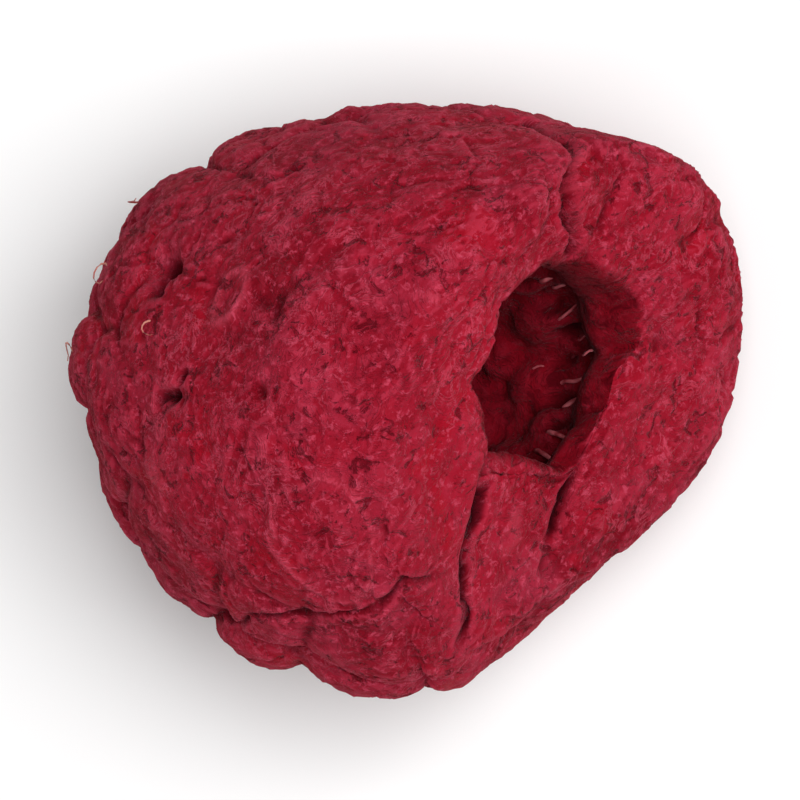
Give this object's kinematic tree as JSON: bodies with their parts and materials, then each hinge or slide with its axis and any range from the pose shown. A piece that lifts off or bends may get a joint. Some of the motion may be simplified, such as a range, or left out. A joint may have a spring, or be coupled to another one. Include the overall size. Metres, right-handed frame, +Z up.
{
  "type": "raspberry",
  "caption": "Whole freeze-dried raspberry with its core pulled out, a cone of grown-together drupelets round an open hollow, lying on its side.",
  "frame": {"origin": "under the middle of the berry's box, on the surface that it lies on", "axes": "+Z up as it lies; the berry's long way is along X, its blunt tip at -X and the mouth of its hollow at +X, looking up by 20 degrees"},
  "size_m": [0.022, 0.0196, 0.0196],
  "materials": {
    "dried_flesh": "dry, powdery and matt crimson fruit skin, finely wrinkled, paler on its edges and darker in its furrows and hollow"
  },
  "bodies": {
    "root": {"raspberry": "dried_flesh"}
  },
  "joints": []
}
